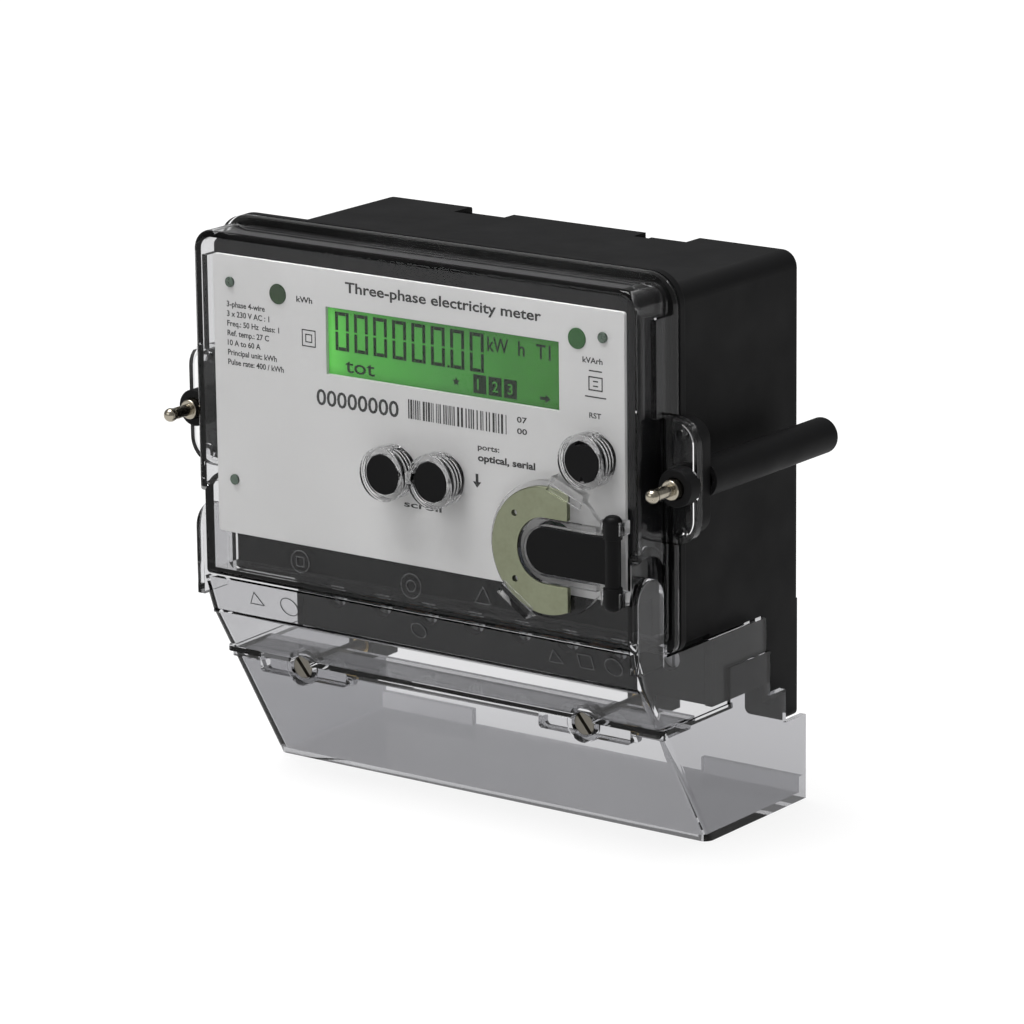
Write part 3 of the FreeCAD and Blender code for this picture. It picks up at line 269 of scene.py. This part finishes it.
def lit_display():
    """Green cell, lit from its left edge and darker towards the borders."""
    low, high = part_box("lcd_glass")
    p = Paint("lcd_cell")
    glow = p.ramp(p.along("X", low.x, high.x), ((0.0, (0.10, 0.5, 0.065)), (0.12, (0.045, 0.27, 0.03)),
                                                 (0.5, (0.03, 0.165, 0.024)), (1.0, (0.012, 0.085, 0.004))))
    height = p.ramp(p.along("Z", low.z, high.z), ((0.0, 0.45), (0.2, 0.95), (0.8, 1.0), (1.0, 0.5)))
    patchy = p.spread(p.noise(60.0, 3.0), 0.0, 0.35)
    shade = p.mix(patchy, glow, (0.04, 0.2, 0.03))
    shaded = p.add("ShaderNodeMix", data_type="RGBA", blend_type="MULTIPLY")
    shaded.inputs["Factor"].default_value = 1.0
    p.link(shade, shaded.inputs["A"])
    p.link(height, shaded.inputs["B"])
    p.link(shaded.outputs["Result"], p.shader.inputs["Base Color"])
    p.link(shaded.outputs["Result"], p.shader.inputs["Emission Color"])
    p.link(p.spread(p.noise(200.0, 2.0), 0.1, 0.2), p.shader.inputs["Roughness"])
    p.set(Emission_Strength=0.62, Specular_IOR_Level=0.3)
    return p.mat


BLACK = (0.0062, 0.0062, 0.0065)
MATERIALS = {
    "case_black": moulded_plastic("case_black", BLACK, 0.55, lift=1.8, shine=0.06),
    "frame_black": moulded_plastic("frame_black", (0.009, 0.009, 0.0095), 0.45, grain=2400.0, depth=0.000003,
                                   lift=1.5, shine=0.06),
    "button_black": moulded_plastic("button_black", (0.004, 0.004, 0.0042), 0.42, grain=2600.0, depth=0.00001,
                                    shine=0.06),
    "rubber_black": moulded_plastic("rubber_black", (0.008, 0.008, 0.008), 0.72, grain=3200.0, wear=0.1),
    "chip_black": moulded_plastic("chip_black", (0.02, 0.02, 0.021), 0.55, grain=4000.0, shine=0.4),
    "plate_white": moulded_plastic("plate_white", (0.575, 0.573, 0.57), 0.5, grain=2200.0, depth=0.000006,
                                   lift=1.04),
    "bobbin_tape": moulded_plastic("bobbin_tape", (0.62, 0.42, 0.05), 0.35, grain=900.0, lift=1.2, shine=0.5),
    "varistor_blue": moulded_plastic("varistor_blue", (0.02, 0.09, 0.36), 0.35, grain=700.0, lift=1.3,
                                     shine=0.5),
    "pcb_green": moulded_plastic("pcb_green", (0.01, 0.11, 0.045), 0.3, grain=500.0, lift=1.4, shine=0.5),
    # the second colour of each clear plastic is painted shade on its side walls
    "clear_cover": clear_plastic("clear_cover", (0.95, 0.95, 0.95), (0.8, 0.8, 0.81), 48.0),
    "clear_hood": clear_plastic("clear_hood", (0.57, 0.57, 0.585), (0.42, 0.42, 0.435), 5.0),
    "port_steel": metal("port_steel", (0.21, 0.225, 0.155), 0.4),
    "nickel": metal("nickel", (0.36, 0.33, 0.27), 0.2),
    "zinc_steel": metal("zinc_steel", (0.55, 0.56, 0.57), 0.36),
    "brass": metal("brass", (0.72, 0.52, 0.22), 0.3),
    "copper_bar": metal("copper_bar", (0.72, 0.33, 0.18), 0.35, brushed=(1.0, 0.1, 1.0)),
    "metal_can": metal("metal_can", (0.66, 0.67, 0.69), 0.25),
    "core_steel": metal("core_steel", (0.3, 0.3, 0.31), 0.45, brushed=(0.1, 4.0, 1.0)),
    "spring_steel": metal("spring_steel", (0.5, 0.5, 0.51), 0.28),
    "lens_dark": moulded_plastic("lens_dark", (0.018, 0.04, 0.014), 0.16, grain=300.0, depth=0.00001,
                                 lift=1.5),
    "lens_green": moulded_plastic("lens_green", (0.02, 0.085, 0.02), 0.16, grain=300.0, depth=0.00001,
                                  lift=1.8),
    "ir_filter": moulded_plastic("ir_filter", (0.012, 0.005, 0.01), 0.12, grain=300.0, depth=0.00001),
    "mark_grey": moulded_plastic("mark_grey", (0.06, 0.06, 0.062), 0.3, grain=400.0, lift=1.2, shine=0.3),
    "ir_clear": moulded_plastic("ir_clear", (0.35, 0.4, 0.5), 0.12, grain=300.0, depth=0.00001, lift=1.2,
                                shine=0.5),
    "lcd_cell": lit_display(),
    "lcd_light": moulded_plastic("lcd_light", (0.5, 0.7, 0.5), 0.3, lift=1.1),
}
# Pieces whose finish differs from the rest of their slot.
OWN_FINISH = {
    "cover_screw_left": metal("screw_bronze", (0.16, 0.15, 0.13), 0.35),
    "plate_screws": metal("screw_green", (0.10, 0.14, 0.11), 0.3),
}
OWN_FINISH["cover_screw_right"] = OWN_FINISH["cover_screw_left"]
OWN_FINISH["seal_collars"] = MATERIALS["case_black"]
# the second colour is painted shade on the terminal cover's side walls
OWN_FINISH["terminal_cover"] = clear_plastic("clear_terminal_cover", (0.68, 0.68, 0.69),
                                             (0.62, 0.62, 0.63), 7.0)

for part in frame["record"]["subparts"]:
    target = nodes[part["node"]]
    target.data.materials.clear()
    target.data.materials.append(OWN_FINISH.get(part["node"], MATERIALS[part["material_slot"]]))


# ---- print, display segments and springs -----------------------------------------

PLATE_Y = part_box("faceplate")[0].y
GLASS_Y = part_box("lcd_glass")[0].y
INK_LIFT = 0.00003          # how far print stands in front of its surface
INK_THICK = 0.00002
CAPITAL_SHARE = 0.72        # height of a capital in a font of size 1
FINE, BOLD = 0.05, 0.1      # how much print strokes are thickened, in mm


class Print:
    """Flat marks gathered in one mesh that stands just in front of a plane facing -Y. Sizes in mm."""

    def __init__(self, y):
        self.bm = bmesh.new()
        self.y = y - INK_LIFT

    def shape(self, points):
        """A filled outline, points as (x, z) counter-clockwise seen from the front."""
        front = [self.bm.verts.new((x * MM, self.y, z * MM)) for x, z in points]
        back = [self.bm.verts.new((x * MM, self.y + INK_THICK, z * MM)) for x, z in points]
        self.bm.faces.new(front)
        self.bm.faces.new(back[::-1])
        for i in range(len(points)):
            j = (i + 1) % len(points)
            self.bm.faces.new((front[j], front[i], back[i], back[j]))

    def bar(self, x0, x1, z0, z1):
        self.shape(((x0, z0), (x1, z0), (x1, z1), (x0, z1)))

    def frame(self, x0, x1, z0, z1, w):
        self.bar(x0, x1, z0, z0 + w)
        self.bar(x0, x1, z1 - w, z1)
        self.bar(x0, x0 + w, z0 + w, z1 - w)
        self.bar(x1 - w, x1, z0 + w, z1 - w)

    def text(self, words, x0, x1, z, height, weight=FINE):
        """Words with capitals of this height, baseline at z, from x0 to x1. Natural width if x1 is None."""
        data = bpy.data.curves.new("words", "FONT")
        data.body = words
        data.size = height / CAPITAL_SHARE * MM
        data.offset = weight * MM
        data.extrude = INK_THICK / 2
        data.resolution_u = 3
        ob = bpy.data.objects.new("words", data)
        bpy.context.scene.collection.objects.link(ob)
        mesh = ob.evaluated_get(bpy.context.evaluated_depsgraph_get()).to_mesh()
        xs = [v.co.x for v in mesh.vertices]
        left = min(xs)
        stretch = 1.0 if x1 is None else (x1 - x0) * MM / (max(xs) - left)
        y = self.y + INK_THICK / 2
        start = x0 * MM - left * stretch
        mesh.transform(Matrix(((stretch, 0, 0, start), (0, 0, -1, y), (0, 1, 0, z * MM), (0, 0, 0, 1))))
        self.bm.from_mesh(mesh)
        bpy.data.objects.remove(ob)
        bpy.data.curves.remove(data)

    def finish(self, name, mat):
        mesh = bpy.data.meshes.new(name)
        self.bm.to_mesh(mesh)
        self.bm.free()
        mesh.materials.append(mat)
        return add_piece(name, mesh)


def add_piece(name, mesh, body="meter"):
    ob = bpy.data.objects.new(name, mesh)
    bpy.context.scene.collection.objects.link(ob)
    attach(ob, body)
    return ob


def ink(name, colour, fade):
    """Pad-printed ink, a little uneven."""
    p = Paint(name)
    uneven = p.spread(p.noise(700.0, 3.0), 0.0, fade)
    p.link(p.mix(uneven, colour, (0.3, 0.3, 0.3)), p.shader.inputs["Base Color"])
    p.link(p.spread(p.noise(400.0, 2.0), 0.5, 0.7), p.shader.inputs["Roughness"])
    p.set(Specular_IOR_Level=0.2)
    return p.mat


RATINGS = ("3-phase 4-wire", "3 x 230 V AC : 1", "Freq.: 50 Hz  class: 1", "Ref. temp.: 27 C",
           "10 A to 60 A", "Principal unit: kWh", "Pulse rate: 400 / kWh")
RATINGS_TOP = 45.8          # baseline of the first line
RATINGS_PITCH = 2.95
STRIPES_LEFT, STRIPES_RIGHT = -2.4, 33.0
STRIPES_LOW, STRIPES_HIGH = 20.4, 26.2
STRIPE_WIDTHS = (0.3, 0.45, 0.45, 0.75)
STRIPE_GAPS = (0.35, 0.35, 0.6, 0.9)
STRIPE_SEED = 7


def plate_print():
    """Generic print: what the meter measures, its ratings, a number, and marks beside the buttons."""
    p = Print(PLATE_Y)
    p.text("Three-phase electricity meter", -25.0, 46.0, 55.4, 3.2, weight=0.09)
    for i, words in enumerate(RATINGS):
        p.text(words, -70.0, None, RATINGS_TOP - RATINGS_PITCH * i, 1.75)
    p.text("kWh", -43.4, -37.4, 50.4, 1.8)
    p.frame(-41.6, -36.4, 37.2, 42.4, 0.35)
    p.frame(-40.3, -37.7, 38.5, 41.1, 0.35)
    p.text("00000000", -36.5, -5.9, 20.2, 4.9, weight=BOLD)
    rng = random.Random(STRIPE_SEED)
    x = STRIPES_LEFT
    while x < STRIPES_RIGHT:
        wide = rng.choice(STRIPE_WIDTHS)
        p.bar(x, x + wide, STRIPES_LOW, STRIPES_HIGH)
        x += wide + rng.choice(STRIPE_GAPS)
    p.text("kVArh", 60.4, 67.4, 45.4, 1.7)
    p.frame(62.4, 67.4, 37.4, 41.6, 0.4)
    p.bar(64.0, 65.8, 38.6, 39.0)
    p.bar(64.0, 65.8, 40.0, 40.4)
    p.bar(62.6, 67.2, 43.0, 43.4)
    p.bar(61.2, 68.6, 35.4, 35.8)
    p.text("RST", 62.6, 66.8, 29.4, 1.6)
    p.text("07", 37.0, 40.6, 24.6, 1.7)
    p.text("00", 37.0, 40.6, 21.2, 1.7)
    p.text("ports:", 22.8, 30.6, 14.6, 1.7)
    p.text("optical, serial", 22.8, 43.4, 11.2, 2.1, weight=BOLD)
    p.bar(21.9, 22.9, 4.6, 7.2)
    p.shape(((20.9, 4.8), (22.4, 3.0), (23.9, 4.8)))
    p.text("scroll", -4.5, 9.3, -6.4, 1.9)
    p.finish("plate_print", ink("print_ink", (0.012, 0.012, 0.012), 0.12))


DIGIT_COUNT = 8
DIGIT_LEFT = -29.9
DIGIT_PITCH = 7.05
DIGIT_WIDE = 5.1
DIGIT_LOW, DIGIT_HIGH = 37.2, 48.9
SEGMENT = 1.1               # stroke width
SEGMENT_GAP = 0.25          # half the gap between upper and lower strokes
RATES = "123"
RATE_LEFT = 20.6
RATE_PITCH = 5.5
RATE_WIDE = 4.7
RATE_LOW, RATE_HIGH = 30.9, 36.5
RATE_INSET = 1.4            # from a rate box's left edge to its digit


def digit_zero(p, x0):
    """Seven-segment zero: all strokes but the middle one."""
    x1 = x0 + DIGIT_WIDE
    mid = (DIGIT_LOW + DIGIT_HIGH) / 2
    for z in (DIGIT_LOW, DIGIT_HIGH - SEGMENT):
        p.bar(x0 + SEGMENT + 0.1, x1 - SEGMENT - 0.1, z, z + SEGMENT)
    for a, b in ((DIGIT_LOW, mid - SEGMENT_GAP), (mid + SEGMENT_GAP, DIGIT_HIGH)):
        p.bar(x0, x0 + SEGMENT, a, b)
        p.bar(x1 - SEGMENT, x1, a, b)


def star(p, x, z, points=5, long=1.5, short=0.65):
    """Star with one point up, counter-clockwise."""
    turns = [-math.pi * k / points for k in range(2 * points)]
    reach = [long, short] * points
    p.shape([(x + r * math.sin(a), z + r * math.cos(a)) for a, r in zip(turns, reach)])


def display_segments():
    """Eight zeros with a point, units, a star, rate boxes and an arrow on the display."""
    p = Print(GLASS_Y)
    for i in range(DIGIT_COUNT):
        digit_zero(p, DIGIT_LEFT + DIGIT_PITCH * i)
    p.bar(11.3, 12.1, 37.2, 38.0)
    p.text("kW", 25.8, 33.4, 44.0, 4.4, weight=BOLD)
    p.text("h", 36.8, 39.2, 44.0, 4.4, weight=BOLD)
    p.text("T1", 43.2, 48.4, 44.0, 4.4, weight=BOLD)
    p.text("tot", -26.4, -15.4, 31.0, 4.4, weight=0.06)
    star(p, 14.4, 33.4)
    for i in range(len(RATES)):
        left = RATE_LEFT + RATE_PITCH * i
        p.bar(left, left + RATE_WIDE, RATE_LOW, RATE_HIGH)
    p.bar(44.4, 46.6, 32.0, 33.0)
    p.shape(((46.4, 31.2), (48.2, 32.5), (46.4, 33.8)))
    p.finish("display_segments", ink("segment_ink", (0.003, 0.018, 0.003), 0.02))
    digits = Print(GLASS_Y - INK_LIFT)
    for i, words in enumerate(RATES):
        digits.text(words, RATE_LEFT + RATE_INSET + RATE_PITCH * i, None, 32.1, 3.2)
    digits.finish("rate_digits", MATERIALS["lcd_cell"])


def tube(path, radius, sides=10, flat=False):
    """Closed round bar along a list of points in metres. flat: the path lies in XY."""
    side_on = Vector((0, 0, 1)) if flat else Vector((0, 1, 0.01))
    bm = bmesh.new()
    rings = []
    for i, at in enumerate(path):
        ahead = (path[min(i + 1, len(path) - 1)] - path[max(i - 1, 0)]).normalized()
        across = ahead.cross(side_on).normalized()
        over = across.cross(ahead)
        angles = [2 * math.pi * k / sides for k in range(sides)]
        spokes = [across * math.cos(a) + over * math.sin(a) for a in angles]
        rings.append([bm.verts.new(at + spoke * radius) for spoke in spokes])
    for a, b in zip(rings, rings[1:]):
        for k in range(sides):
            bm.faces.new((a[k], a[(k + 1) % sides], b[(k + 1) % sides], b[k]))
    bm.faces.new(rings[0][::-1])
    bm.faces.new(rings[-1])
    bmesh.ops.recalc_face_normals(bm, faces=bm.faces)
    mesh = bpy.data.meshes.new("coil")
    bm.to_mesh(mesh)
    bm.free()
    for face in mesh.polygons:
        face.use_smooth = True
    return mesh


COIL_STEPS = 28             # points per turn


def spring(node, turns=4.5, wire=0.0003):
    """Coil spring in place of a CAD envelope."""
    low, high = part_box(node)
    centre = (low + high) / 2
    radius = (high.x - low.x) / 2 - wire
    y0, y1 = low.y + wire, high.y - wire
    count = int(turns * COIL_STEPS)
    path = []
    for i in range(count + 1):
        share = i / count
        angle = 2 * math.pi * turns * share
        x = centre.x + radius * math.cos(angle)
        z = centre.z + radius * math.sin(angle)
        path.append(Vector((x, y0 + (y1 - y0) * share, z)))
    ob = add_piece(node + "_coil", tube(path, wire))
    ob.data.materials.append(MATERIALS["spring_steel"])
    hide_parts(node)
    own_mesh(ob)


def outline(kind, size):
    """Closed outline of an embossed mark in its own plane, in metres, last point equal to the first."""
    sides = {"ring": 40, "triangle": 3, "square": 4}[kind]
    turn = {"ring": 0.0, "triangle": math.pi / 2, "square": math.pi / 4}[kind]
    angles = [turn + 2 * math.pi * k / sides for k in range(sides + 1)]
    corners = [Vector((size * math.cos(a), size * math.sin(a), 0)) for a in angles]
    if kind == "ring":
        return corners
    return [a.lerp(b, t / 6) for a, b in zip(corners, corners[1:]) for t in range(6)] + [corners[-1]]


def embossed(name, body, marks, mat, radius=0.00017):
    """Raised outlines moulded on a clear wall.

    Each mark is its kind, size, x, z, and two (y, z) points on the wall, all in mm."""
    bm = bmesh.new()
    for kind, size, x, z, (a, b) in marks:
        share = (z - a[1]) / (b[1] - a[1])
        at = Vector((x, a[0] + (b[0] - a[0]) * share, z)) * MM
        up = Vector((0, a[0] - b[0], a[1] - b[1])).normalized()
        facing = Vector((1, 0, 0)).cross(up)
        turn = Matrix((Vector((1, 0, 0)), up, facing)).transposed().to_4x4()
        mesh = tube(outline(kind, size * MM), radius, 6, flat=True)
        mesh.transform(Matrix.Translation(at) @ turn)
        bm.from_mesh(mesh)
    mesh = bpy.data.meshes.new(name)
    bm.to_mesh(mesh)
    bm.free()
    mesh.materials.append(mat)
    return add_piece(name, mesh, body)


COVER_WALL_LINE = ((-88.5, 0.0), (-88.5, -37.0))
TERMINAL_WALL_LINE = ((-89.5, -38.1), (-84.9, -49.9))

plate_print()
display_segments()
embossed("cover_marks", "meter", [
    ("ring", 3.7, -0.6, -29.6, COVER_WALL_LINE), ("ring", 1.7, -0.6, -29.6, COVER_WALL_LINE),
    ("triangle", 3.4, 25.8, -29.2, COVER_WALL_LINE), ("ring", 3.4, -42.2, -28.5, COVER_WALL_LINE),
    ("square", 2.0, -42.2, -28.5, COVER_WALL_LINE),
], MATERIALS["mark_grey"])
embossed("terminal_cover_marks", "terminal_cover", [
    ("triangle", 3.0, -60.4, -43.6, TERMINAL_WALL_LINE), ("ring", 3.2, -47.7, -43.7, TERMINAL_WALL_LINE),
    ("ring", 2.6, 1.3, -43.1, TERMINAL_WALL_LINE), ("triangle", 3.0, 50.8, -43.6, TERMINAL_WALL_LINE),
    ("square", 3.4, 61.8, -42.8, TERMINAL_WALL_LINE), ("ring", 3.0, 71.7, -42.9, TERMINAL_WALL_LINE),
], MATERIALS["mark_grey"])
spring("scroll_spring_left")
spring("scroll_spring_right")
spring("reset_spring")


# ---- floor, light, camera -------------------------------------------------------

def floor(glow):
    """Pale floor that glows slightly, like a light table."""
    bm = bmesh.new()
    bmesh.ops.create_grid(bm, x_segments=1, y_segments=1, size=6.0)
    mesh = bpy.data.meshes.new("floor")
    bm.to_mesh(mesh)
    bm.free()
    ob = bpy.data.objects.new("floor", mesh)
    ob.location = (0.0, 0.0, cad_low.z - 0.0002)
    bpy.context.scene.collection.objects.link(ob)
    p = Paint("floor_paint")
    tone = p.mix(p.spread(p.noise(3.0), 0.0, 0.2), (0.15, 0.15, 0.15), (0.14, 0.14, 0.14))
    p.link(tone, p.shader.inputs["Base Color"])
    p.set(Roughness=0.9, Emission_Color=(1.0, 1.0, 1.0), Emission_Strength=glow, Specular_IOR_Level=0.0)
    mesh.materials.append(p.mat)


def sun(aim, strength, spread):
    """Very soft light from overhead, spread in degrees."""
    data = bpy.data.lights.new("overhead", "SUN")
    data.energy = strength
    data.angle = math.radians(spread)
    ob = bpy.data.objects.new("overhead", data)
    ob.rotation_mode = "QUATERNION"
    ob.rotation_quaternion = Vector(aim).to_track_quat("-Z", "Y")
    bpy.context.scene.collection.objects.link(ob)


def lamp(name, at, aim, size, watts):
    data = bpy.data.lights.new(name, "AREA")
    data.shape = "RECTANGLE"
    data.size, data.size_y = size
    data.energy = watts
    ob = bpy.data.objects.new(name, data)
    ob.location = at
    ob.rotation_mode = "QUATERNION"
    ob.rotation_quaternion = (Vector(aim) - Vector(at)).to_track_quat("-Z", "Y")
    bpy.context.scene.collection.objects.link(ob)


def world(strength):
    made = bpy.data.worlds.new("studio")
    made.use_nodes = True
    back = made.node_tree.nodes["Background"]
    back.inputs["Color"].default_value = (1.0, 1.0, 1.0, 1.0)
    back.inputs["Strength"].default_value = strength
    bpy.context.scene.world = made


CAMERA_AT = (0.9242, -1.2903, 0.3887)
CAMERA_FORWARD = (-0.57478, 0.77828, -0.25281)
CAMERA_ROLL = -0.66         # degrees
CAMERA_LENS = 187.95        # mm on a 36 mm sensor


def camera():
    forward = Vector(CAMERA_FORWARD).normalized()
    level = forward.cross(Vector((0, 0, 1))).normalized()
    upright = level.cross(forward)
    roll = math.radians(CAMERA_ROLL)
    right = level * math.cos(roll) + upright * math.sin(roll)
    up = upright * math.cos(roll) - level * math.sin(roll)
    data = bpy.data.cameras.new("camera")
    data.lens, data.sensor_width = CAMERA_LENS, 36.0
    data.clip_start, data.clip_end = 0.05, 50.0
    ob = bpy.data.objects.new("camera", data)
    turn = Matrix((right, up, -forward)).transposed().to_4x4()
    ob.matrix_world = Matrix.Translation(CAMERA_AT) @ turn
    bpy.context.scene.collection.objects.link(ob)
    bpy.context.scene.camera = ob


floor(glow=0.86)
world(strength=0.3)
sun(aim=(0.2, 0.13, -1.0), strength=4.6, spread=40.0)
lamp("front", at=(-0.5, -1.6, 0.9), aim=(0, -0.05, 0), size=(1.4, 1.0), watts=7.0)
camera()
bpy.context.scene.view_settings.view_transform = "Standard"
bpy.context.scene.cycles.transparent_max_bounces = 24
